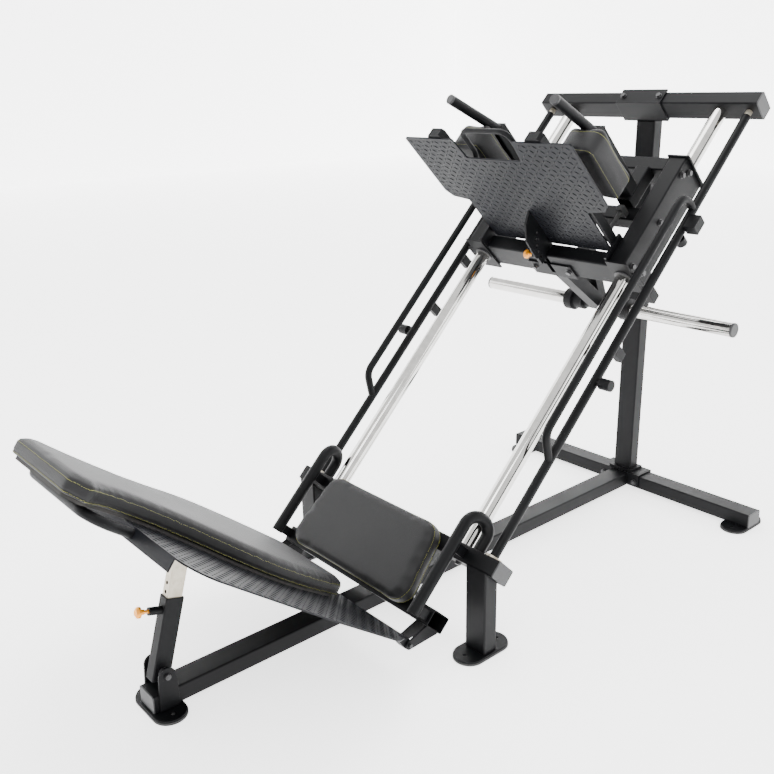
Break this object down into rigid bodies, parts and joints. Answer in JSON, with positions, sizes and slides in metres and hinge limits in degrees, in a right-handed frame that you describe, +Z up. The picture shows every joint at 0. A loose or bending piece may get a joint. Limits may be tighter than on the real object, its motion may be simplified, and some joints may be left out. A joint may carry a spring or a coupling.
{
  "type": "leg press and hack squat machine",
  "caption": "Inclined sled machine with back pad, seat, tilting foot plate, shoulder pads, plate horns, safety handles and a strut-adjusted back rest.",
  "frame": {"origin": "on the floor at the middle of the footprint", "axes": "+Z up; the user end with the back pad is toward -Y, the tall upright toward +Y; X runs across"},
  "size_m": [1.108, 2.4031, 1.5214],
  "materials": {
    "black_steel": "satin black powder coat",
    "tread_steel": "black coated raised tread plate",
    "chrome": "polished hard chrome",
    "plated_steel": "zinc plated",
    "zinc_bolts": "black oxide fasteners",
    "rubber": "matte black rubber",
    "black_plastic": "matte black plastic",
    "vinyl": "fine grained black vinyl",
    "plywood": "dark stained plywood",
    "gold_knob": "glossy golden knob on a steel pin"
  },
  "bodies": {
    "frame": {"spine": "black_steel", "rear_base": "black_steel", "foot_plates": "black_steel", "foot_rubbers": "rubber", "tube_caps": "black_plastic", "top_crossbar": "black_steel", "lower_crossbar": "black_steel", "upright": "black_steel", "mid_posts": "black_steel", "frame_saddles": "black_steel", "guide_rods": "chrome", "safety_bearings": "plated_steel", "seat_frame": "black_steel", "seat_board": "plywood", "seat_pad": "vinyl", "side_grips": "black_steel", "hinge_ears": "black_steel", "hinge_bolts": "zinc_bolts", "frame_bolts": "zinc_bolts"},
    "sled": {"housing_left": "black_steel", "housing_right": "black_steel", "housing_end_plates": "black_steel", "bushings": "black_plastic", "sled_upper_tube": "black_steel", "sled_middle_tube": "black_steel", "sled_lower_tube": "black_steel", "sled_saddle": "black_steel", "shoulder_supports": "black_steel", "shoulder_pad_left": "vinyl", "shoulder_pad_right": "vinyl", "shoulder_handles": "black_steel", "horn_core": "black_steel", "horn_sleeves": "chrome", "sled_caps": "black_plastic", "hanger": "black_steel", "pivot_brackets": "black_steel", "lock_barrel": "black_steel", "plate_stops": "rubber", "sled_bolts": "zinc_bolts"},
    "safety_left": {"safety_rod_left": "black_steel", "safety_loop_left": "black_steel", "safety_stops_left": "black_steel"},
    "safety_right": {"safety_rod_right": "black_steel", "safety_loop_right": "black_steel", "safety_stops_right": "black_steel"},
    "foot_plate": {"press_plate": "tread_steel", "press_ribs": "black_steel", "press_arms": "black_steel", "press_loop_handle": "black_steel", "press_sector": "black_steel"},
    "lock_pin": {"lock_pin": "gold_knob"},
    "back_rest": {"rest_plate": "tread_steel", "rest_lugs": "black_steel", "rest_loop_handle": "black_steel", "rest_board": "plywood", "back_pad": "vinyl", "strut_top_bolt": "zinc_bolts"},
    "strut_tube": {"strut_outer": "black_steel"},
    "strut_slide": {"strut_inner": "plated_steel"},
    "strut_pin": {"strut_pin": "gold_knob"}
  },
  "joints": [
    {"name": "sled_slide", "type": "slide", "parent": "frame", "child": "sled", "axis": [0, 0.7071, 0.7071], "range_m": [-0.8, 0.2]},
    {"name": "safety_right_turn", "type": "hinge", "parent": "frame", "child": "safety_right", "pos_m": [0.4, 0.4386, 0.8296], "axis": [0, 0.7071, 0.7071], "range_deg": [0, 90]},
    {"name": "safety_left_turn", "type": "hinge", "parent": "frame", "child": "safety_left", "pos_m": [-0.4, 0.4386, 0.8296], "axis": [0, -0.7071, -0.7071], "range_deg": [0, 90]},
    {"name": "foot_plate_tilt", "type": "hinge", "parent": "sled", "child": "foot_plate", "pos_m": [0, 0.5871, 1.06578], "axis": [1, 0, 0], "range_deg": [0, 60]},
    {"name": "lock_pin_push", "type": "slide", "parent": "sled", "child": "lock_pin", "axis": [1, 0, 0], "range_m": [0, 0.012], "stiffness_N_per_m": 1000, "springref_m": -0.006},
    {"name": "back_rest_tilt", "type": "hinge", "parent": "frame", "child": "back_rest", "pos_m": [0, -0.37941, 0.09009], "axis": [-1, 0, 0], "range_deg": [-5.13, 5.13]},
    {"name": "strut_tilt", "type": "hinge", "parent": "frame", "child": "strut_tube", "pos_m": [0, -0.95591, 0.112], "axis": [-1, 0, 0], "range_deg": [-4, 4]},
    {"name": "strut_extend", "type": "slide", "parent": "strut_tube", "child": "strut_slide", "axis": [0, 0.2847, 0.9586], "range_m": [-0.05001, 0.05001]},
    {"name": "strut_pin_push", "type": "slide", "parent": "strut_tube", "child": "strut_pin", "axis": [0, 0.9586, -0.2847], "range_m": [0, 0.012], "stiffness_N_per_m": 1000, "springref_m": -0.006}
  ],
  "couplings": [
    {"joint": "strut_tilt", "follows": "back_rest_tilt", "ratio": 0.57282},
    {"joint": "strut_extend", "follows": "back_rest_tilt", "m_per_rad": 0.55866}
  ]
}
